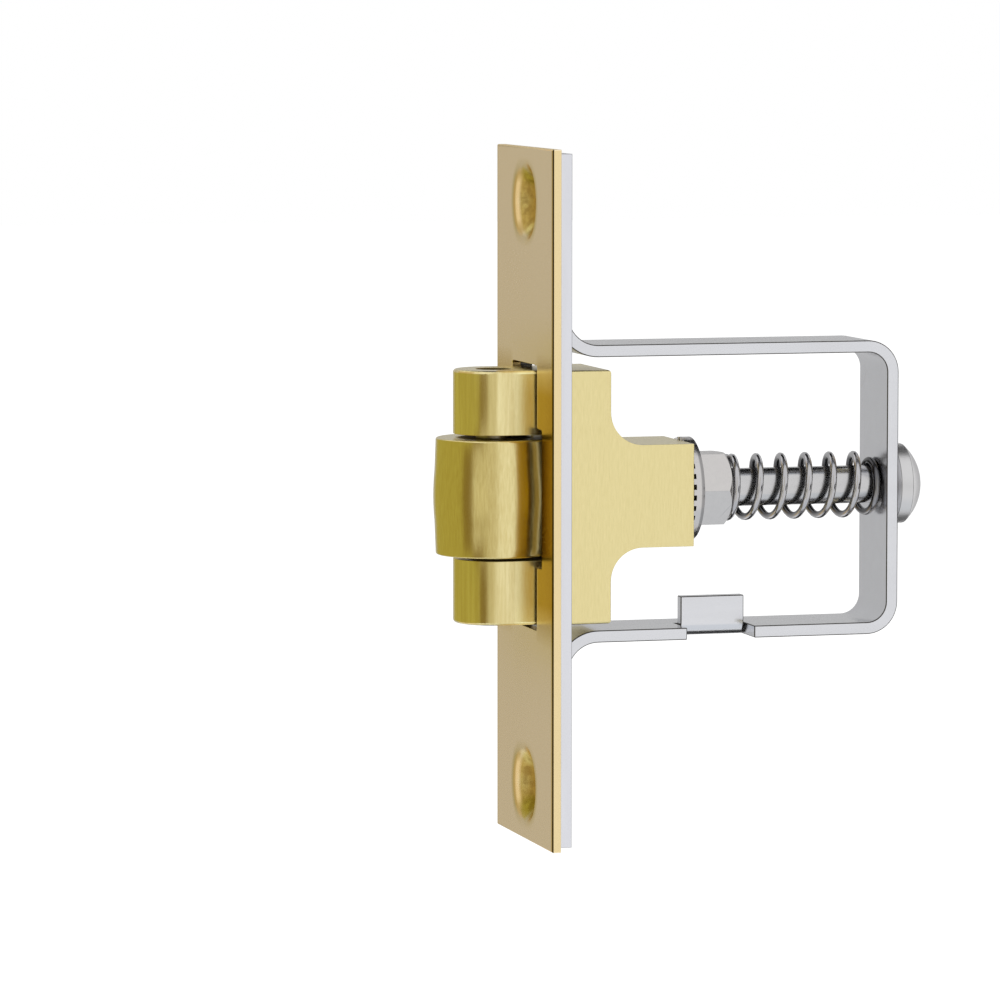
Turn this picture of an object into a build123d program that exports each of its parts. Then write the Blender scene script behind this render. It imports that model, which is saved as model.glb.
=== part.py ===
from build123d import *
from math import cos, pi, radians, sin, sqrt, tan
import os

# Adjustable roller latch for the edge of a door, in millimetres.
# X runs from the door's edge into the door and Z up along the faceplate. The origin is the middle of the
# screw pattern, on the back of the backing plate. The roller stands out in front, at negative X.

# Faceplate: satin brass sheet, with two screw dimples pressed into it
face_height = 85.725
face_width = 25.4
face_thickness = 1.13
face_edge_round = 0.25
window_edge_round = 0.12
screw_hole_diameter = 4.5
dimple_diameter = 10.8
dimple_angle = 43
dimple_edge = 1.3625
dimple_back_lip = 0.37
dimple_toe = 0.8
dimple_rim = 0.5

# Backing plate: steel sheet behind the faceplate, a little smaller all round and sunk for the dimples
plate_thickness = 1.49
plate_inset = 0.53
plate_hole_clearance = 0.2

# Yoke: brass block with a round-nosed pair of ears in front and a square tail behind
nose_radius = 5.0
yoke_height = 31.3
yoke_width = 12.7
wide_depth = 6.4
shoulder_gap = 0.3
tail_height = 12.7
tail_length = 10.66
tail_fillet = 4.1
ear_gap = 15.4
pocket_clearance = 0.5
pocket_corner = 0.6
yoke_end_round = 0.4

# Roller and its axle
axle_offset = 6.55
axle_diameter = 4.4
axle_recess = 1.0
axle_chamfer = 0.3
ear_bore_clearance = 0.04
roller_length = 14.4
roller_end_radius = 7.15
roller_band_radius = 7.29
roller_crown_radius = 7.44
roller_crown_length = 6.2
roller_edge_round = 0.25
roller_bore_clearance = 0.18

# Window through both plates: a tall slot for the ears, widened in the middle for the roller
ear_side_clearance = 0.7
ear_end_clearance = 0.68
roller_side_clearance = 0.48
roller_end_clearance = 1.33
window_corner = 0.4

# Strap: steel strip bent into a loop, its ends turned outward and spot welded to the backing plate
strap_thickness = 1.5
strap_width = 10.57
loop_depth = 44.33
yoke_gap = 1.215
rear_bend = 2.5
front_bend = 3.9
flange_clearance = 1.35
flange_corner = 1.5
wall_hole_clearance = 0.7
weld_mark_radius = 1.3
weld_mark_depth = 0.2
weld_mark_inset = 2.6

# Stop tab: cut free on three sides in the lower arm and folded up in the path of the yoke
travel = 10.0
stop_clearance = 0.42
tab_length = 8.21
tab_height = 5.02
tab_setback = 3.6
tab_bend = 0.5
tab_relief = 0.25

# Lock nut: hexagon with a toothed flange that bites on the end of the tail
nut_across_flats = 8.8
nut_length = 5.65
flange_diameter = 12.85
flange_rim = 1.4
flange_cone = 0.45
nut_chamfer = 0.6
tooth_count = 30
tooth_depth = 0.35
tooth_gap = 0.65
tooth_inner_radius = 4.3

# Adjusting screw: its head rests on the back of the strap and its shank is threaded into the yoke.
# Screw, nut and spring share the middle line of the strap, which lies a little above that of the yoke.
screw_rise = 0.3
screw_diameter = 4.75
thread_clearance = 0.1
screw_engagement = 12.5
screw_tip_chamfer = 0.6
head_diameter = 10.0
head_rim = 2.15
head_dome = 2.28
head_under_chamfer = 0.65
recess_width = 1.3
recess_length = 4.6
recess_depth = 1.9

# Spring: round wire wound left-handed, closed at both ends, between the lock nut and the strap
spring_diameter = 8.38
wire_diameter = 0.9
active_turns = 5.9
closing_turn = 0.6
first_flat_turn = 0.5
last_flat_turn = 0.25
taper_turn = 0.65
spring_grip_clearance = 0.12
spring_seat_gap = 0.03
spring_start = 0.459
points_per_turn = 16

# Planes across X that the pieces share
plate_front = -plate_thickness
face_front = plate_front - face_thickness
axle_x = -axle_offset
shoulder_x = shoulder_gap
yoke_back = shoulder_x + wide_depth
tail_back = yoke_back + tail_length
pocket_floor = axle_x + roller_crown_radius + pocket_clearance
nut_back = tail_back + nut_length
wall_front = loop_depth - strap_thickness
stop_front = yoke_back + travel + stop_clearance

# Sizes that several pieces share
screw_spacing = face_height - dimple_diameter - 2 * dimple_edge
screw_line = Pos(0, 0, screw_rise)
ear_window = (2 * (nose_radius + ear_side_clearance), yoke_height + 2 * ear_end_clearance)
roller_window = (2 * (roller_crown_radius + roller_side_clearance), roller_length + 2 * roller_end_clearance)
dimple_lip = dimple_back_lip + face_thickness
toe_corner = screw_hole_diameter / 2 + dimple_toe * tan(radians(dimple_angle) / 2)
lip_corner = dimple_diameter / 2 - dimple_lip * tan(radians(dimple_angle) / 2)
dimple_depth = (lip_corner - toe_corner) * tan(radians(dimple_angle))
rim_radius = dimple_diameter / 2 + dimple_rim
sink_radius = dimple_diameter / 2 + plate_hole_clearance
arm_top = screw_rise + yoke_height / 2 + yoke_gap + strap_thickness
arm_bottom = screw_rise - yoke_height / 2 - yoke_gap - strap_thickness
flange_end = screw_spacing / 2 - sink_radius - flange_clearance
cut_margin = 5.0


def slab(x_low, x_high, width, height):
    """A block between two planes across X, centred on the X axis."""
    return Pos((x_low + x_high) / 2, 0, 0) * Box(x_high - x_low, width, height)


def rod(x_low, x_high, radius):
    """A round bar along the X axis."""
    return Pos((x_low + x_high) / 2, 0, 0) * Rot(0, 90, 0) * Cylinder(radius, x_high - x_low)


def window(x_low, x_high):
    """The cutter for the slot through a plate, with its corners rounded."""
    cutter = slab(x_low, x_high, *ear_window) + slab(x_low, x_high, *roller_window)
    return fillet(cutter.edges().filter_by(Axis.X), window_corner)


def dimple():
    """The pressed countersink: sheet of even thickness, rounded at the lip and at the hole."""
    path = FilletPolyline(
        (0, dimple_depth), (toe_corner, dimple_depth), (lip_corner, 0), (rim_radius, 0),
        radius=[dimple_toe, dimple_lip],
    )
    outline = offset(path, amount=face_thickness, side=Side.LEFT)
    profile = Plane(origin=(face_front, 0, 0), x_dir=(0, 1, 0), z_dir=(0, 0, -1)) * make_face(outline)
    return revolve(profile, Axis.X)


def faceplate():
    body = slab(face_front, plate_front, face_width, face_height)
    body = fillet(body.faces().sort_by(Axis.X)[0].edges(), face_edge_round)
    body -= window(face_front - cut_margin, plate_front + cut_margin)
    front = body.faces().sort_by(Axis.X)[0]
    body = fillet(front.inner_wires().edges(), window_edge_round)
    pressed = dimple()
    for side in (-1, 1):
        place = Pos(0, 0, side * screw_spacing / 2)
        body -= place * rod(face_front - cut_margin, plate_front + cut_margin, rim_radius)
        body += place * pressed
        body -= place * rod(face_front - cut_margin, cut_margin, screw_hole_diameter / 2)
    return body


def turned(outline):
    """A shape turned about the X axis from a closed outline of (X, radius) points."""
    return revolve(Plane.XY * make_face(Polyline(*outline, close=True)), Axis.X)


def back_plate():
    body = slab(plate_front, 0, face_width - 2 * plate_inset, face_height - 2 * plate_inset)
    body -= window(plate_front - cut_margin, cut_margin)
    sink_back = sink_radius - plate_thickness / tan(radians(dimple_angle))
    sink = turned([
        (plate_front - cut_margin, 0), (plate_front - cut_margin, sink_radius), (plate_front, sink_radius),
        (0, sink_back), (cut_margin, sink_back), (cut_margin, 0),
    ])
    for side in (-1, 1):
        body -= Pos(0, 0, side * screw_spacing / 2) * sink
    return body


def folded_strip(points, radii, width):
    """Sheet folded along a path of (X, Z) points on one face, with the sheet on the left of the path."""
    path = FilletPolyline(*points, radius=radii)
    outline = offset(path, amount=strap_thickness, side=Side.LEFT)
    sheet = Plane(origin=(0, 0, 0), x_dir=(1, 0, 0), z_dir=(0, -1, 0)) * make_face(outline)
    return extrude(sheet, amount=width / 2, both=True)


def stop_tab():
    """The tab's own fold, across the strip: up from the lower arm, with its free edge at the top."""
    inner_floor = arm_bottom + strap_thickness
    near_face = tab_setback - strap_width / 2
    far_face = near_face + strap_thickness
    path = FilletPolyline(
        (far_face, arm_bottom + tab_height),
        (far_face, inner_floor),
        (far_face + 2 * tab_bend, inner_floor),
        radius=tab_bend,
    )
    outline = offset(path, amount=strap_thickness, side=Side.RIGHT)
    profile = Plane(origin=(stop_front, 0, 0), x_dir=(0, 1, 0), z_dir=(1, 0, 0)) * make_face(outline)
    return extrude(profile, amount=tab_length)


def strap():
    inner_top, inner_bottom = arm_top - strap_thickness, arm_bottom + strap_thickness
    outer_front_bend = front_bend + strap_thickness
    body = folded_strip(
        [(0, flange_end), (0, inner_top), (wall_front, inner_top),
         (wall_front, inner_bottom), (0, inner_bottom), (0, -flange_end)],
        [outer_front_bend, rear_bend, rear_bend, outer_front_bend],
        strap_width,
    )
    tips = body.edges().filter_by(Axis.X).group_by(Axis.Z)
    body = fillet(tips[0] + tips[-1], flange_corner)
    wall_hole_radius = (screw_diameter + wall_hole_clearance) / 2
    body -= screw_line * rod(wall_front - cut_margin, loop_depth + cut_margin, wall_hole_radius)
    fold_line = tab_setback - strap_width / 2 + strap_thickness + tab_bend
    notch_width = strap_width / 2 + fold_line
    notch = Box(tab_length + 2 * tab_relief, notch_width, 2 * strap_thickness)
    tab_middle = stop_front + tab_length / 2
    body -= Pos(tab_middle, fold_line - notch_width / 2, arm_bottom + strap_thickness / 2) * notch
    body += stop_tab()
    mark_sphere = (weld_mark_radius**2 + weld_mark_depth**2) / (2 * weld_mark_depth)
    dent = Pos(strap_thickness - weld_mark_depth + mark_sphere, 0, 0) * Sphere(mark_sphere)
    for z in (flange_end - weld_mark_inset, weld_mark_inset - flange_end):
        for y in (-weld_mark_inset, weld_mark_inset):
            body -= Pos(0, y, z) * dent
    return body


def yoke():
    body = slab(shoulder_x, yoke_back, yoke_width, yoke_height)
    body += slab(yoke_back - wide_depth / 2, tail_back, yoke_width, tail_height)
    roots = body.edges().filter_by(Axis.Y).group_by(Axis.X)[1].sort_by(Axis.Z)[1:3]
    body = fillet(roots, tail_fillet)
    body += slab(axle_x, shoulder_x + wide_depth / 2, 2 * nose_radius, yoke_height)
    body += Pos(axle_x, 0, 0) * Cylinder(nose_radius, yoke_height)
    for end in (0, -1):
        body = fillet(body.faces().sort_by(Axis.Z)[end].edges(), yoke_end_round)
    pocket = slab(axle_x - nose_radius - cut_margin, pocket_floor, yoke_width + cut_margin, ear_gap)
    floor_edges = pocket.faces().sort_by(Axis.X)[-1].edges().filter_by(Axis.Y)
    body -= fillet(floor_edges, pocket_corner)
    body -= Pos(axle_x, 0, 0) * Cylinder((axle_diameter + ear_bore_clearance) / 2, yoke_height + cut_margin)
    bore = rod(pocket_floor - cut_margin, tail_back + cut_margin, (screw_diameter + thread_clearance) / 2)
    return body - screw_line * bore


def roller_axle():
    pin = Pos(axle_x, 0, 0) * Cylinder(axle_diameter / 2, yoke_height - 2 * axle_recess)
    return chamfer(pin.edges(), axle_chamfer)


def roller():
    """Turned roller: slightly tapered ends and a raised crown round its middle, turned about the axle."""
    bore = (axle_diameter + roller_bore_clearance) / 2
    half, crown, edge = roller_length / 2, roller_crown_length / 2, roller_edge_round
    corner = edge * (1 - sqrt(0.5))
    outline = [
        Line((bore, -half), (roller_end_radius - edge, -half)),
        ThreePointArc(
            (roller_end_radius - edge, -half),
            (roller_end_radius - corner, -half + corner),
            (roller_end_radius, -half + edge),
        ),
        Line((roller_end_radius, -half + edge), (roller_band_radius, -crown)),
        ThreePointArc((roller_band_radius, -crown), (roller_crown_radius, 0), (roller_band_radius, crown)),
        Line((roller_band_radius, crown), (roller_end_radius, half - edge)),
        ThreePointArc(
            (roller_end_radius, half - edge),
            (roller_end_radius - corner, half - corner),
            (roller_end_radius - edge, half),
        ),
        Line((roller_end_radius - edge, half), (bore, half)),
        Line((bore, half), (bore, -half)),
    ]
    return Pos(axle_x, 0, 0) * revolve(Plane.XZ * make_face(outline), Axis.Z)


def lock_nut():
    hexagon = Plane.YZ * RegularPolygon(nut_across_flats / 2, 6, major_radius=False)
    body = Pos(tail_back, 0, 0) * extrude(hexagon, amount=nut_length)
    corner_radius = nut_across_flats / sqrt(3)
    body &= turned([
        (tail_back, 0), (tail_back, corner_radius + nut_chamfer),
        (nut_back - nut_chamfer, corner_radius), (nut_back, nut_across_flats / 2), (nut_back, 0),
    ])
    rim_back = tail_back + flange_rim
    body += turned([
        (tail_back, 0), (tail_back, flange_diameter / 2), (rim_back, flange_diameter / 2),
        (rim_back + flange_cone, nut_across_flats / 2), (rim_back + flange_cone, 0),
    ])
    body -= rod(tail_back - cut_margin, tail_back + tooth_depth, tooth_inner_radius)
    groove_length = flange_diameter / 2
    groove_centre = tooth_inner_radius - tooth_gap + groove_length / 2
    groove = Pos(tail_back + tooth_depth / 2, 0, groove_centre) * Box(tooth_depth, tooth_gap, groove_length)
    body -= [Rot(i * 360 / tooth_count, 0, 0) * groove for i in range(tooth_count)]
    body -= rod(tail_back - cut_margin, nut_back + cut_margin, (screw_diameter + thread_clearance) / 2)
    return screw_line * body


def adjusting_screw():
    shank, head = screw_diameter / 2, head_diameter / 2
    tip = tail_back - screw_engagement
    rim_back = loop_depth + head_rim
    head_back = rim_back + head_dome
    dome_sphere = (head**2 + head_dome**2) / (2 * head_dome)
    lift = sqrt(dome_sphere**2 - (head / 2) ** 2)
    corners = [
        (head_back, 0), (tip, 0), (tip, shank - screw_tip_chamfer), (tip + screw_tip_chamfer, shank),
        (loop_depth, shank), (loop_depth, head - head_under_chamfer),
        (loop_depth + head_under_chamfer, head), (rim_back, head),
    ]
    dome = ThreePointArc((rim_back, head), (head_back - dome_sphere + lift, head / 2), (head_back, 0))
    body = revolve(Plane.XY * make_face([Polyline(*corners), dome]), Axis.X)
    slot = Pos(head_back - recess_depth / 2, 0, 0) * Box(recess_depth, recess_width, recess_length)
    return screw_line * (body - [slot, Rot(90, 0, 0) * slot])


def spring():
    """Wire swept along a coil: flat end turns, a short run where the pitch opens, and even turns between."""
    first = nut_back + wire_diameter / 2 + spring_seat_gap
    last = wall_front - wire_diameter / 2 - spring_seat_gap
    pitch = (last - first) / active_turns
    coil_radius = (spring_diameter - wire_diameter) / 2
    end_radius = (screw_diameter + wire_diameter) / 2 + spring_grip_clearance
    all_turns = active_turns + closing_turn

    def along(turn):
        if turn < 0:
            return first
        if turn > all_turns:
            return last
        if turn < closing_turn:
            return first + pitch * turn**2 / (2 * closing_turn)
        if turn > all_turns - closing_turn:
            return last - pitch * (all_turns - turn) ** 2 / (2 * closing_turn)
        return first + pitch * (turn - closing_turn / 2)

    def point(turn):
        angle = 2 * pi * (turn + spring_start)
        drawn_in = min(1, max(0, (turn - all_turns) / taper_turn + 1))
        radius = coil_radius + (end_radius - coil_radius) * drawn_in
        return (along(turn), radius * sin(angle), screw_rise + radius * cos(angle))

    total = first_flat_turn + all_turns + last_flat_turn
    steps = round(total * points_per_turn)
    path = Spline(*[point(total * i / steps - first_flat_turn) for i in range(steps + 1)])
    wire = Plane(origin=path @ 0, z_dir=path % 0) * Circle(wire_diameter / 2)
    return sweep(wire, path=path, is_frenet=True)


pieces = {
    "faceplate": faceplate(),
    "back_plate": back_plate(),
    "strap": strap(),
    "yoke": yoke(),
    "roller_axle": roller_axle(),
    "roller": roller(),
    "lock_nut": lock_nut(),
    "adjusting_screw": adjusting_screw(),
    "spring": spring(),
}
os.makedirs("parts", exist_ok=True)
for name, piece in pieces.items():
    export_step(piece, f"parts/{name}.step")
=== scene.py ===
from math import cos, pi, radians, sin

import bmesh
import bpy
from mathutils import Euler, Matrix, Vector


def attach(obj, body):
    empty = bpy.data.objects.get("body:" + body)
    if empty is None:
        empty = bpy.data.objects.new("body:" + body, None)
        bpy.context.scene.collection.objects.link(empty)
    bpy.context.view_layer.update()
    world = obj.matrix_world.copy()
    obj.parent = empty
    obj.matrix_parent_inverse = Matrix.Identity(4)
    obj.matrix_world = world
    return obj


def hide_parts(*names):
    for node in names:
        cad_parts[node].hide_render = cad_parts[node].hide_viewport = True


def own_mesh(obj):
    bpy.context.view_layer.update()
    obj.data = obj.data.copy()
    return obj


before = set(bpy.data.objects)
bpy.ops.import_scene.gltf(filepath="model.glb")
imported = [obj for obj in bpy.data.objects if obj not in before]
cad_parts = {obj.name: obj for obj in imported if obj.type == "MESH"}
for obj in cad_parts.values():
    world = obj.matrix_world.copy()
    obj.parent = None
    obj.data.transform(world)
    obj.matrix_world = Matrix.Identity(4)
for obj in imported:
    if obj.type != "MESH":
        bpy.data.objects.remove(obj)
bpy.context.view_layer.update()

mm = 0.001


# Backing plate: a flat strip of zinc-plated sheet steel behind the faceplate, a little smaller all round.
# It is blanked in one stroke. Its cut edges get painted dark lines for the dark they reflect, and the walls
# of its slot get painted shade.
class Wire:
    """An output of a node in the finish being mixed. Arithmetic on it adds Math nodes."""

    def __init__(self, finish, socket):
        self.finish = finish
        self.socket = socket

    def maths(self, operation, first, second):
        return self.finish.node("Math", {0: first, 1: second}, operation=operation)

    def __add__(self, other):
        return self.maths("ADD", self, other)

    def __radd__(self, other):
        return self.maths("ADD", other, self)

    def __sub__(self, other):
        return self.maths("SUBTRACT", self, other)

    def __rsub__(self, other):
        return self.maths("SUBTRACT", other, self)

    def __mul__(self, other):
        return self.maths("MULTIPLY", self, other)

    def __rmul__(self, other):
        return self.maths("MULTIPLY", other, self)

    def __pow__(self, other):
        return self.maths("POWER", self, other)

    def __or__(self, other):
        return self.maths("MAXIMUM", self, other)

    def __abs__(self):
        return self.maths("ABSOLUTE", self, 0)


class Finish:
    """A metal finish: a Principled shader whose fixed values are set first, and nodes that vary it."""

    def __init__(self, name, fixed):
        self.material = bpy.data.materials.new(name)
        self.material.use_nodes = True
        self.tree = self.material.node_tree
        self.shader = self.tree.nodes["Principled BSDF"]
        for socket, value in fixed.items():
            self.shader.inputs[socket].default_value = value
        self.place = self.node("TexCoord", {}, output="Object")
        self.x, self.y, self.z = (
            self.node("SeparateXYZ", {"Vector": self.place}, output=axis) for axis in "XYZ")

    def node(self, kind, values, output=0, **settings):
        """Add a node: its settings first, then a value or a link for each socket."""
        made = self.tree.nodes.new("ShaderNode" + kind)
        for name, value in settings.items():
            setattr(made, name, value)
        for name, value in values.items():
            self.plug(made.inputs[name], value)
        return Wire(self, made.outputs[output])

    def plug(self, socket, value):
        """Give a socket a value, or a link if the value is a wire."""
        if isinstance(value, Wire):
            self.tree.links.new(value.socket, socket)
        else:
            socket.default_value = value

    def noise(self, scale, stretch=(1, 1, 1), detail=2.0):
        """Grain with so many cells per metre, drawn out or squeezed along the three axes."""
        placed = self.node("Mapping", {"Vector": self.place, "Scale": stretch})
        return self.node("TexNoise", {"Vector": placed, "Scale": scale, "Detail": detail}, output="Fac")

    def scratches(self, scale, turn, width, amount):
        """Hairline scratches: level lines of a noise drawn out along one direction, in scattered patches."""
        stretch = (1, 1, 30)
        patch_scale = 0.7 * scale
        direction = [radians(angle) for angle in turn]
        drawn_out = self.node("Mapping", {"Vector": self.place, "Rotation": direction, "Scale": stretch},
                              vector_type="TEXTURE")
        grooves = self.node("TexNoise", {"Vector": drawn_out, "Scale": scale, "Detail": 0.0}, output="Fac")
        patch = self.noise(patch_scale, detail=1.0)
        return self.fade(abs(grooves - 0.5), width, 0.0) * self.fade(patch, 0.62 - amount, 0.72 - amount)

    def fade(self, value, start, end):
        """0 on the far side of start, 1 on the far side of end, and an even slope between them."""
        return self.node("MapRange", {"Value": value, "From Min": start, "From Max": end})

    def broken_edge(self):
        """1 on the narrow faces where a sharp edge has been broken."""
        return self.node("Attribute", {}, output="Fac", attribute_name="broken_edge")

    def blend(self, factor, first, second):
        """The first colour where the factor is 0, the second where it is 1, and a mix between."""
        made = self.tree.nodes.new("ShaderNodeMix")
        made.data_type = "RGBA"
        for index, value in ((0, factor), (6, first), (7, second)):
            self.plug(made.inputs[index], value if isinstance(value, (Wire, float, int)) else (*value, 1))
        return Wire(self, made.outputs[2])

    def colour(self, value):
        self.plug(self.shader.inputs["Base Color"], value)

    def roughness(self, value):
        self.plug(self.shader.inputs["Roughness"], value)

    def relief(self, height, depth):
        """Raise the surface by up to depth metres where height is 1."""
        self.plug(self.shader.inputs["Normal"], self.node("Bump", {"Height": height, "Distance": depth}))


def eased(name, node, width, sharp=35.0, clamp=True):
    """A merged copy of a solid's mesh whose sharp edges are broken by a small bevel and shaded smooth."""
    piece = bpy.data.objects.new(name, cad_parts[node].data.copy())
    bpy.context.scene.collection.objects.link(piece)
    mesh = bmesh.new()
    mesh.from_mesh(piece.data)
    same_point = 0.002 * mm
    same_plane = radians(0.2)
    bmesh.ops.remove_doubles(mesh, verts=mesh.verts, dist=same_point)
    bmesh.ops.dissolve_limit(mesh, angle_limit=same_plane, verts=mesh.verts, edges=mesh.edges)
    broken_edge = mesh.faces.layers.float.new("broken_edge")
    if width:
        edges = [e for e in mesh.edges if e.is_manifold and e.calc_face_angle() > radians(sharp)]
        bevel = bmesh.ops.bevel(mesh, geom=edges, offset=width, offset_type="OFFSET", segments=2, profile=0.5,
                                affect="EDGES", clamp_overlap=clamp, loop_slide=True, material=-1)
        for face in bevel["faces"]:
            face[broken_edge] = 1.0
    finish_mesh(piece, mesh, sharp)
    return piece


def finish_mesh(piece, mesh, sharp):
    """Write the mesh to its piece, smooth but for edges sharper than the angle, with normals kept by area."""
    for face in mesh.faces:
        face.smooth = True
        face.material_index = 0
    for edge in mesh.edges:
        edge.smooth = not edge.is_manifold or edge.calc_face_angle() < radians(sharp)
    mesh.to_mesh(piece.data)
    mesh.free()
    weighted = piece.modifiers.new("weighted", "WEIGHTED_NORMAL")
    weighted.keep_sharp = True
    weighted.weight = 100


def dress(piece, finish, body, node):
    """Give a piece its finish, its body and the solid that it stands for."""
    piece.data.materials.clear()
    piece.data.materials.append(finish.material)
    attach(piece, body)
    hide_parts(node)


face_front = -2.62 * mm


def window_walls(finish):
    """1 on the walls of the slot that is cut through both plates for the ears and, wider, for the roller."""
    ear_slot = (5.70 * mm, 16.33 * mm)
    roller_slot = (7.92 * mm, 8.53 * mm)
    start, full = 0.06 * mm, 0.02 * mm
    walls = []
    for slot_side, slot_end in (ear_slot, roller_slot):
        across = finish.fade(abs(finish.y), slot_side + start, slot_side + full)
        along = finish.fade(abs(finish.z), slot_end + start, slot_end + full)
        walls.append(across * along)
    behind_face = finish.fade(finish.x, face_front + 0.06 * mm, face_front + 0.12 * mm)
    return (walls[0] | walls[1]) * behind_face


sheet_steel = Finish("sheet_steel", {"Metallic": 1.0})
rolled = sheet_steel.noise(700, (1, 1, 0.15), detail=3.0)
shade = 0.15 + 0.25 * (rolled - 0.5)
clean_sheet = sheet_steel.blend(shade, (0.735, 0.740, 0.785), (0.55, 0.55, 0.58))
# Painted shade: the broken edges and the slot's walls are darkened almost to black.
painted_edge_and_slot_shade = sheet_steel.broken_edge() | window_walls(sheet_steel)
sheet_steel.colour(sheet_steel.blend(painted_edge_and_slot_shade, clean_sheet, (0.09, 0.085, 0.08)))
sheet_steel.roughness(0.20 + 0.05 * rolled)
sheet_steel.relief(rolled, 0.0006 * mm)
dress(eased("backing_plate_sheet", "back_plate", 0.14 * mm), sheet_steel, "housing", "back_plate")


# Faceplate: satin brass sheet with its front edges rolled over, screwed to the door's edge.
# The two screw seats are pressed in, so the sheet flows softly into them; rings of painted highlight and
# painted shade stand in for what the seats mirror.
def off_axis(first, second):
    """How far a point is from a line, given how far it is from it in two directions across."""
    return (first * first + second * second) ** 0.5


satin_brass = Finish("satin_brass", {"Metallic": 1.0, "Specular Tint": (0.95, 0.82, 0.56, 1)})
plate_side, plate_end = 12.70 * mm, 42.86 * mm
aside = abs(satin_brass.y)
aloft = abs(satin_brass.z)
grain = satin_brass.noise(6500, (1, 1, 0.6), detail=3.0)
cloud = satin_brass.noise(70, (1, 1, 0.5))
tone = 0.25 + 0.5 * cloud + 0.3 * (grain - 0.5)
front_face = satin_brass.blend(tone, (0.875, 0.77, 0.61), (0.815, 0.71, 0.55))
# Painted light: the cut side keeps the deeper brass and the front is made paler, standing in for how
# differently the two faces catch the light.
cut_side = satin_brass.fade(aside, plate_side - 0.10 * mm, plate_side - 0.02 * mm)
satin = satin_brass.blend(cut_side, front_face, (0.835, 0.675, 0.375))
on_front = satin_brass.fade(satin_brass.x, face_front + 0.12 * mm, face_front + 0.06 * mm)
# Painted reflection: the front beside the ears is made a deep gold, the ears' brass as mirrored in the plate.
beside_ears = (satin_brass.fade(aloft, 18.0 * mm, 12.8 * mm)
               * satin_brass.fade(aside, 5.0 * mm, 6.4 * mm) * on_front)
# Painted reflection: a gold band along the front just inside the rolled arris.
beside_arris = (satin_brass.fade(aside, plate_side - 0.60 * mm, plate_side - 0.35 * mm)
                * satin_brass.fade(satin_brass.x, face_front + 0.19 * mm, face_front + 0.12 * mm))
with_arris_reflection = satin_brass.blend(0.8 * beside_arris, satin, (0.55, 0.41, 0.12))
with_painted_light = satin_brass.blend(beside_ears, with_arris_reflection, (0.46, 0.29, 0.015))
screw_place = 36.1 * mm
above_screw = abs(aloft - screw_place)
from_screw = off_axis(satin_brass.y, above_screw)
# Painted light in each seat: an olive rim, a bright highlight ring and darker rings inside.
for outer, inner, tall, short, painted_tone in ((6.2, 5.2, 5.6, 3.0, (0.60, 0.50, 0.24)),
                                           (4.85, 4.58, 3.5, 2.2, (1.0, 0.88, 0.60)),
                                           (4.35, 4.02, 5.6, 3.0, (0.60, 0.50, 0.18)),
                                           (3.7, 2.9, 5.0, 2.6, (0.44, 0.33, 0.09))):
    ring = (satin_brass.fade(from_screw, outer * mm, inner * mm)
            * satin_brass.fade(above_screw, tall * mm, short * mm))
    with_painted_light = satin_brass.blend(ring, with_painted_light, painted_tone)
# Painted shade: a mottled darkening deep inside each seat.
seat_shade_mottle = satin_brass.fade(satin_brass.noise(1100, detail=3.0), 0.42, 0.60)
in_seat = (satin_brass.fade(from_screw, 4.3 * mm, 3.6 * mm)
           * satin_brass.fade(satin_brass.x, face_front + 0.22 * mm, face_front + 0.42 * mm))
with_seat_shade = satin_brass.blend(0.6 * seat_shade_mottle * in_seat, with_painted_light, (0.30, 0.20, 0.05))
# Painted highlight: the narrow top and bottom ends of the sheet are made lighter.
narrow_end = satin_brass.fade(aloft, plate_end - 0.16 * mm, plate_end - 0.06 * mm)
with_end_highlight = satin_brass.blend(narrow_end, with_seat_shade, (1.0, 0.86, 0.60))
# Painted shade on the walls of the slot.
with_wall_shade = satin_brass.blend(0.85 * window_walls(satin_brass), with_end_highlight, (0.40, 0.27, 0.07))
# Painted dark reflection: a near-black line along the rolled arris.
rolled_arris = (satin_brass.fade(aside, plate_side - 0.17 * mm, plate_side - 0.13 * mm)
                * satin_brass.fade(satin_brass.x, face_front + 0.21 * mm, face_front + 0.17 * mm))
satin_brass.colour(satin_brass.blend(rolled_arris, with_wall_shade, (0.05, 0.035, 0.01)))
satin_brass.roughness(0.22 + 0.05 * grain + 0.04 * cloud)
satin_brass.relief(grain, 0.001 * mm)
dress(eased("faceplate_sheet", "faceplate", 0.1 * mm, sharp=50), satin_brass, "housing", "faceplate")

# Strap: one strip of the same steel bent into a loop, its ends spot welded to the backing plate.
# A tab is cut free in the lower arm and folded up, where it stops the yoke.
strap_steel = Finish("strap_steel", {"Metallic": 1.0})
drawn = strap_steel.noise(700, (0.12, 1, 1), detail=3.0)
hairlines = strap_steel.scratches(150, (20, 55, 0), 0.008, 0.03)
wear = 0.15 + 0.25 * (drawn - 0.5) + 0.3 * hairlines
clean_strap = strap_steel.blend(wear, (0.715, 0.722, 0.750), (0.52, 0.52, 0.55))
# Painted dark reflection: the broken edges are darkened into dark lines.
strap_steel.colour(strap_steel.blend(strap_steel.broken_edge(), clean_strap, (0.075, 0.07, 0.065)))
strap_steel.roughness(0.19 + 0.05 * drawn + 0.1 * hairlines)
strap_steel.relief(drawn, 0.0006 * mm)
dress(eased("bent_strap", "strap", 0.12 * mm, clamp=False), strap_steel, "housing", "strap")

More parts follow.
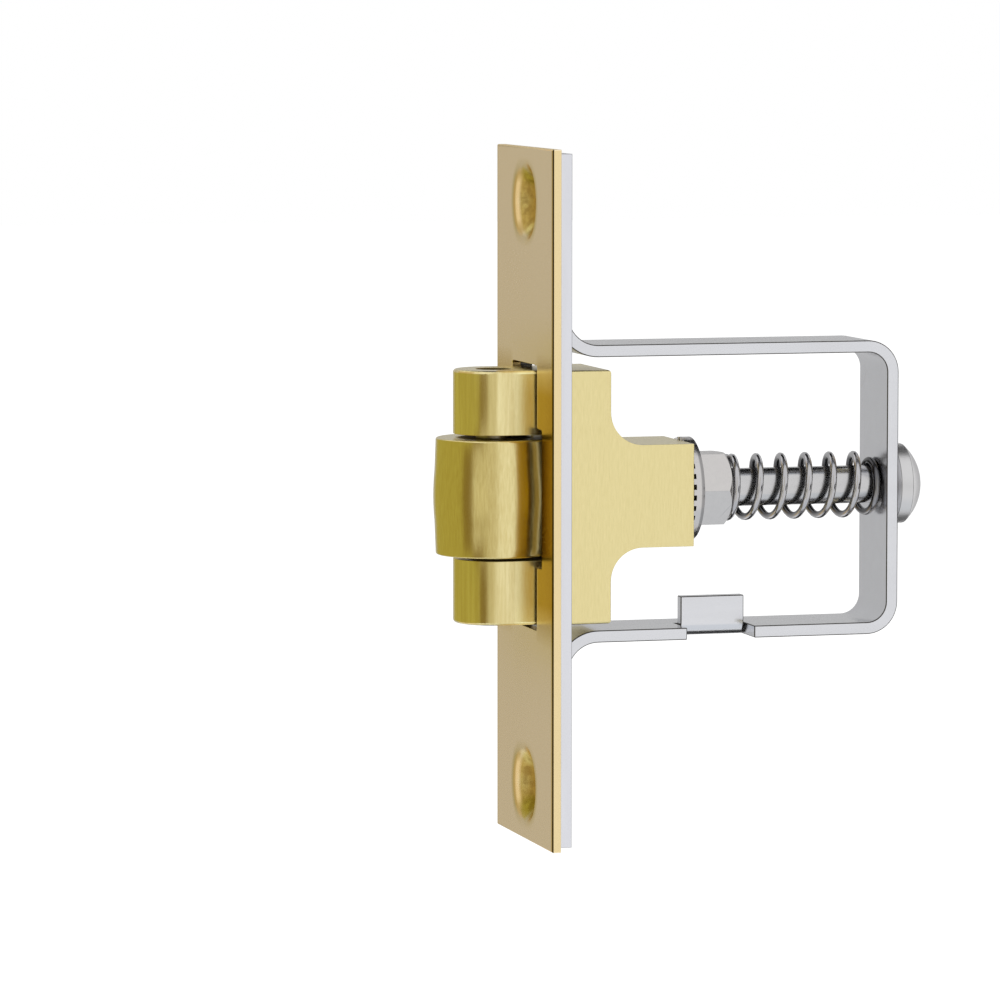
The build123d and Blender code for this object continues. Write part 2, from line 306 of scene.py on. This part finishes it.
# Yoke: a block of drawn brass milled to a T, with a round-nosed pair of ears for the roller in front.
# Its faces are brushed up and down and the arrises are only just broken. Bore and pocket are rougher and
# carry painted shade.
brushed_brass = Finish("brushed_brass", {"Metallic": 1.0})
axle_x = -6.55 * mm
bore_radius = 2.24 * mm
ear_inside, ear_end = 7.70 * mm, 15.65 * mm
aloft = abs(brushed_brass.z)
brushing = brushed_brass.noise(5200, (1, 1, 0.13))
coarse = brushed_brass.noise(1500, (1, 1, 0.05), detail=3.0)
ears = brushed_brass.fade(brushed_brass.x, -2.3 * mm, -2.7 * mm)
streaks = 0.5 + 0.7 * (brushing - 0.5) + (0.2 + 3.4 * ears) * (coarse - 0.5)
brass_face = brushed_brass.blend(streaks, (0.83, 0.73, 0.39), (0.72, 0.61, 0.29))
# Painted reflection: the ears' sides next to the plate are tinted pale yellow.
by_plate = ears * brushed_brass.fade(brushed_brass.x, -5.4 * mm, -4.4 * mm)
ear_face = brushed_brass.blend(0.8 * by_plate, brass_face, (1.0, 0.97, 0.56))
pocket = (brushed_brass.fade(aloft, ear_inside + 0.10 * mm, ear_inside + 0.02 * mm)
          * brushed_brass.fade(brushed_brass.x, 1.6 * mm, 1.45 * mm)
          * brushed_brass.fade(brushed_brass.x, -10.2 * mm, -8.6 * mm))
from_axle = off_axis(brushed_brass.x - axle_x, brushed_brass.y)
bore = (brushed_brass.fade(from_axle, bore_radius + 0.12 * mm, bore_radius + 0.05 * mm)
        * brushed_brass.fade(aloft, ear_end - 0.02 * mm, ear_end - 0.08 * mm))
# Painted shade: pocket and bore are darkened; they are also rougher.
dull_and_shaded = pocket | bore
brushed_brass.colour(brushed_brass.blend(0.9 * dull_and_shaded, ear_face, (0.10, 0.07, 0.02)))
brushed_brass.roughness(0.19 + 0.10 * brushing + 0.4 * dull_and_shaded)
brushed_brass.relief(brushing + coarse, 0.0014 * mm)
dress(eased("yoke_block", "yoke", 0.08 * mm), brushed_brass, "plunger", "yoke")

# Axle: a plain steel pin pressed through both ears and sunk below their ends, so that nothing catches.
# Its ends show the marks of the tool that faced them.
pin_steel = Finish("pin_steel", {"Metallic": 1.0, "Roughness": 0.3})
facing = pin_steel.noise(2500)
pin_steel.colour(pin_steel.blend(facing, (0.56, 0.50, 0.36), (0.40, 0.36, 0.27)))
pin_steel.relief(facing, 0.001 * mm)
dress(eased("axle_pin", "roller_axle", 0, sharp=40), pin_steel, "plunger", "roller_axle")

# Roller: turned brass, with a raised crown round its middle that keeps its ends clear of the door frame.
# It turns on the axle. Its end faces are rougher and darkened with painted shade where they run beside the
# ears.
roller_brass = Finish("roller_brass", {"Metallic": 1.0})
roller_end = 7.20 * mm
spun = roller_brass.noise(4200, (1, 1, 0.14), detail=3.0)
roller_face = roller_brass.blend(0.5 + 1.7 * (spun - 0.5), (0.80, 0.70, 0.36), (0.69, 0.57, 0.25))
from_middle = off_axis(roller_brass.x - axle_x, roller_brass.y)
# Painted shade on the end faces, where they run in the narrow gap beside the ears.
dull_shaded_end = (roller_brass.fade(abs(roller_brass.z), roller_end - 0.10 * mm, roller_end - 0.02 * mm)
              * roller_brass.fade(from_middle, 4.8 * mm, 4.0 * mm))
roller_brass.colour(roller_brass.blend(0.7 * dull_shaded_end, roller_face, (0.16, 0.11, 0.03)))
roller_brass.roughness(0.19 + 0.10 * spun + 0.4 * dull_shaded_end)
roller_brass.relief(spun, 0.0028 * mm)
dress(eased("roller_body", "roller", 0, sharp=50), roller_brass, "roller", "roller")

# Lock nut: a zinc-plated hexagon nut whose flange is toothed on the side that bites on the yoke's tail.
# The spanner has left fine marks on its flats.
nut_zinc = Finish("nut_zinc", {"Metallic": 1.0})
screw_rise = 0.3 * mm
plating = nut_zinc.noise(1500, detail=3.0)
tool_marks = nut_zinc.scratches(260, (40, 35, 0), 0.010, 0.08)
nut_face = nut_zinc.blend(0.2 * plating + 0.5 * tool_marks, (0.62, 0.60, 0.59), (0.38, 0.38, 0.39))
from_screw_line = off_axis(nut_zinc.y, nut_zinc.z - screw_rise)
flange_back = (nut_zinc.fade(nut_zinc.x, 18.30 * mm, 18.46 * mm)
               * nut_zinc.fade(nut_zinc.x, 19.40 * mm, 19.22 * mm)
               * nut_zinc.fade(from_screw_line, 5.0 * mm, 5.4 * mm))
# Painted shade: the back of the flange and the broken edges are darkened.
shaded = 0.55 * flange_back | 0.4 * nut_zinc.broken_edge()
nut_zinc.colour(nut_zinc.blend(shaded, nut_face, (0.07, 0.07, 0.075)))
nut_zinc.roughness(0.20 + 0.05 * plating)
nut_zinc.relief(plating, 0.0006 * mm)
dress(eased("flange_nut", "lock_nut", 0.05 * mm, sharp=28), nut_zinc, "plunger", "lock_nut")

# Adjusting screw: bright steel, threaded into the yoke. Its domed head rests on the back of the strap,
# so that turning it with the nut slackened sets how far the roller stands out.
bright_steel = Finish("bright_steel", {"Metallic": 1.0})
polish = bright_steel.noise(1800, (0.3, 1, 1), detail=3.0)
head = bright_steel.fade(bright_steel.x, 44.2 * mm, 44.6 * mm)
shank_face = bright_steel.blend(0.4 * polish, (0.60, 0.595, 0.60), (0.45, 0.45, 0.45))
bright_face = bright_steel.blend(0.8 * head, shank_face, (0.66, 0.655, 0.66))
# Painted shade: the broken edges are darkened into dark lines.
bright_steel.colour(bright_steel.blend(0.8 * bright_steel.broken_edge(), bright_face, (0.15, 0.15, 0.15)))
bright_steel.roughness(0.17 + 0.05 * polish + 0.16 * head)
bright_steel.relief(polish, 0.0008 * mm)
dress(eased("dome_screw", "adjusting_screw", 0.08 * mm), bright_steel, "plunger", "adjusting_screw")

# Spring: polished wire wound left-handed over the screw, its closed ends seated on the nut and the strap.
# The last turn is drawn in to sit round the screw's shank. The real spring shortens as the roller goes in;
# this coil is built at one length.
wire_radius = 0.45 * mm
wire_seat = 0.48 * mm
coil_radius = 3.74 * mm
end_radius = 2.945 * mm
nut_back = 23.01 * mm
wall_front = 42.83 * mm
first_centre = nut_back + wire_seat
last_centre = wall_front - wire_seat
active_turns = 5.9
closing_turn = 0.6
taper_turn = 0.65
first_flat, last_flat = 0.5, 0.25
all_turns = active_turns + closing_turn
pitch = (last_centre - first_centre) / active_turns


def along(turn):
    """How far into the door the wire is after so many turns."""
    if turn < 0:
        return first_centre
    if turn > all_turns:
        return last_centre
    if turn < closing_turn:
        return first_centre + pitch * turn**2 / (2 * closing_turn)
    if turn > all_turns - closing_turn:
        return last_centre - pitch * (all_turns - turn) ** 2 / (2 * closing_turn)
    return first_centre + pitch * (turn - closing_turn / 2)


steps_per_turn = 32
sections = 20
total = first_flat + all_turns + last_flat
rings = round(total * steps_per_turn)
spring_start = 0.459
mesh = bmesh.new()
wire_rings = []
for ring in range(rings + 1):
    turn = total * ring / rings - first_flat
    drawn_in = min(1, max(0, (turn - all_turns) / taper_turn + 1))
    radius = coil_radius + (end_radius - coil_radius) * drawn_in
    wound = Matrix.Rotation(-2 * pi * (turn + spring_start), 3, "X")
    wire_ring = []
    for section in range(sections):
        around = 2 * pi * section / sections
        unwound = Vector((-wire_radius * sin(around), 0, radius + wire_radius * cos(around)))
        wire_ring.append(mesh.verts.new(wound @ unwound + Vector((along(turn), 0, screw_rise))))
    wire_rings.append(wire_ring)
for ring, following in zip(wire_rings, wire_rings[1:]):
    for section in range(sections):
        mesh.faces.new((ring[section], following[section], following[section - 1], ring[section - 1]))
for cut_end in (wire_rings[0], wire_rings[-1]):
    mesh.faces.new(cut_end)
bmesh.ops.recalc_face_normals(mesh, faces=mesh.faces)
coil = bpy.data.objects.new("wire_coil", bpy.data.meshes.new("wire_coil"))
bpy.context.scene.collection.objects.link(coil)
finish_mesh(coil, mesh, 60)
spring_wire = Finish("spring_wire", {"Metallic": 1.0})
drawing = spring_wire.noise(1600, detail=3.0)
wire_face = spring_wire.blend(0.3 * drawing, (0.52, 0.515, 0.53), (0.38, 0.375, 0.39))
# Painted shade: the inner side of each turn, which faces the screw, is darkened.
from_shank = off_axis(spring_wire.y, spring_wire.z - screw_rise)
inner_side_shade = spring_wire.fade(from_shank, coil_radius + 0.21 * mm, coil_radius - 0.29 * mm)
spring_wire.colour(spring_wire.blend(inner_side_shade, wire_face, (0.07, 0.07, 0.075)))
spring_wire.roughness(0.15 + 0.04 * drawing)
spring_wire.relief(drawing, 0.0002 * mm)
dress(coil, spring_wire, "housing", "spring")
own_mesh(coil)

# Camera: a long lens a little above the latch and to the roller's side, looking slightly down.
# The white surround shows behind the latch, and the view transform leaves colours as they are written.
camera_tilt, camera_turn = 5.1801, 15.3819
view = bpy.data.cameras.new("camera")
view.lens = 206.673
view.sensor_width = 36.0
view.clip_end = 50.0
camera = bpy.data.objects.new("camera", view)
camera.location = (-0.192744, -0.679817, 0.063317)
camera.rotation_euler = (radians(90 - camera_tilt), 0, radians(-camera_turn))
bpy.context.scene.collection.objects.link(camera)
bpy.context.scene.camera = camera
bpy.context.scene.view_settings.view_transform = "Standard"


# Studio: a pale floor well below the latch, which the metal doesn't mirror, and a white surround.
# The surround lights the latch at a lower level than the white that camera and reflections see.
def strength(tree, kinds, plain, seen_level, socket):
    """Set a strength to one level for rays of the named kinds, and to a plain one for all others."""
    path = tree.nodes.new("ShaderNodeLightPath")
    seen = path.outputs[kinds[0]]
    for kind in kinds[1:]:
        either = tree.nodes.new("ShaderNodeMath")
        either.operation = "MAXIMUM"
        tree.links.new(seen, either.inputs[0])
        tree.links.new(path.outputs[kind], either.inputs[1])
        seen = either.outputs[0]
    level = tree.nodes.new("ShaderNodeMapRange")
    level.inputs["To Min"].default_value = plain
    level.inputs["To Max"].default_value = seen_level
    tree.links.new(seen, level.inputs["Value"])
    tree.links.new(level.outputs[0], socket)


def panel(name, width, height, place, turn):
    """A flat panel, so wide and high, turned by three angles in degrees and put in its place."""
    mesh = bmesh.new()
    turned = Euler([radians(angle) for angle in turn]).to_matrix().to_4x4()
    bmesh.ops.create_grid(mesh, x_segments=1, y_segments=1, size=0.5,
                          matrix=Matrix.Translation(place) @ turned @ Matrix.Diagonal((width, height, 1, 1)))
    made = bpy.data.objects.new(name, bpy.data.meshes.new(name))
    mesh.to_mesh(made.data)
    mesh.free()
    bpy.context.scene.collection.objects.link(made)
    return made


world = bpy.data.worlds.new("studio")
bpy.context.scene.world = world
world.use_nodes = True
surround = world.node_tree.nodes["Background"]
surround.inputs["Color"].default_value = (1, 1, 1, 1)
strength(world.node_tree, ("Is Camera Ray", "Is Glossy Ray", "Is Transmission Ray"), 0.55, 1.0,
         surround.inputs["Strength"])

floor = panel("floor", 6.0, 6.0, (0, 1.0, -0.14), (0, 0, 0))
floor.visible_glossy = False
paper = bpy.data.materials.new("floor_paper")
paper.use_nodes = True
sheet = paper.node_tree.nodes["Principled BSDF"]
sheet.inputs["Base Color"].default_value = (0.86, 0.86, 0.86, 1)
sheet.inputs["Roughness"].default_value = 0.9
sheet.inputs["Specular IOR Level"].default_value = 0.0
sheet.inputs["Emission Color"].default_value = (1, 1, 1, 1)
strength(paper.node_tree, ("Is Camera Ray", "Is Glossy Ray"), 0.0, 0.62, sheet.inputs["Emission Strength"])
floor.data.materials.append(paper)


# Reflector cards: bright metal shows only what stands round it, so cards that reflections alone see
# are set as a metal worker's photographer would set them, far ones first, then those close to the roller.
def card(name, colour, width, height, place, turn):
    """A reflector card: only reflections see it."""
    made = panel(name, width, height, place, turn)
    made.visible_camera = False
    made.visible_diffuse = False
    made.visible_transmission = False
    made.visible_shadow = False
    glow = bpy.data.materials.new(name)
    glow.use_nodes = True
    glow.node_tree.nodes.clear()
    light = glow.node_tree.nodes.new("ShaderNodeEmission")
    light.inputs["Color"].default_value = (*colour, 1)
    out = glow.node_tree.nodes.new("ShaderNodeOutputMaterial")
    glow.node_tree.links.new(light.outputs[0], out.inputs[0])
    glow.cycles.emission_sampling = "NONE"
    made.data.materials.append(glow)


def upright(name, colour, x, near, far, low, high):
    """A card square to the faceplate's front, between two places across the door and two heights, in mm."""
    middle = (x * mm, (near + far) / 2 * mm, (low + high) / 2 * mm)
    card(name, colour, (far - near) * mm, (high - low) * mm, middle, (90, 0, 90))


dark = (0.01, 0.01, 0.01)
for name, colour, width, height, place, turn in (
        ("grey_back", (0.58, 0.58, 0.58), 4.0, 1.26, (0, 0.9, 0.0), (90, 0, 0)),
        ("dark_top", dark, 0.52, 0.86, (0.16, 0.43, 0.6), (0, 0, 0)),
        ("dark_low", (0.04, 0.04, 0.04), 0.52, 0.80, (0.16, 0.46, -0.6), (0, 0, 0)),
        ("pale_low", (0.84, 0.87, 0.90), 1.0, 0.5, (0.15, -0.27, -0.5), (0, 0, 0)),
        ("cream_front", (0.72, 0.67, 0.52), 0.17, 0.9, (-0.15, -0.50, 0.0), (90, 0, -16)),
        ("dark_left", dark, 0.26, 0.14, (-0.42, -0.27, -0.03), (90, 0, 123)),
        ("dark_right", dark, 0.385, 0.18, (0.473, -0.369, -0.05), (90, 0, 52))):
    card(name, colour, width, height, place, turn)
upright("warm_left", (0.74, 0.60, 0.40), -380, -80, 500, -450, 450)
# Painted shade: brownish cards inside the slot beside the roller, behind the plates, that reflections see in
# place of the shade there.
for side, near, far in (("near", -7.9, -6.45), ("far", 6.45, 7.9)):
    upright("window_" + side, (0.28, 0.21, 0.07), 0.4, near, far, -8.5, 8.5)

roller_white, ear_white = (0.78, 0.74, 0.57), (0.56, 0.51, 0.32)
brown, gold = (0.25, 0.175, 0.04), (0.49, 0.44, 0.12)
card_line, white_edge, gold_end = -25, -40, 55
for name, white, low, high, brown_edge, gold_edge in (("upper_ear", ear_white, 6.3, 17, -29, -15),
                                                      ("roller", roller_white, -9, 6.3, -15.4, -8.2),
                                                      ("lower_ear", ear_white, -26, -9, -29, -15)):
    upright("white_by_" + name, white, card_line, white_edge, brown_edge, low, high)
    upright("brown_by_" + name, brown, card_line, brown_edge, gold_edge, low, high)
    upright("gold_by_" + name, gold, card_line, gold_edge, gold_end, low, high)


# Lamps: three soft panels at a plain level, a key above the camera's right, a fill low on the right
# and one overhead. The brass and steel don't mirror them, so no facet burns out.
def lamp(name, power, width, height, place):
    """A soft lamp, so wide and high, aimed at the latch."""
    light = bpy.data.lights.new(name, "AREA")
    light.shape = "RECTANGLE"
    light.size = width
    light.size_y = height
    light.energy = power
    holder = bpy.data.objects.new(name, light)
    holder.location = place
    holder.rotation_euler = (-Vector(place)).to_track_quat("-Z", "Y").to_euler()
    holder.visible_glossy = False
    bpy.context.scene.collection.objects.link(holder)


lamp("key", 1.1, 0.7, 0.7, (0.25, -0.75, 0.75))
lamp("fill", 0.5, 0.6, 0.9, (0.95, -0.45, 0.1))
lamp("overhead", 1.4, 0.9, 0.9, (0.0, 0.1, 1.1))
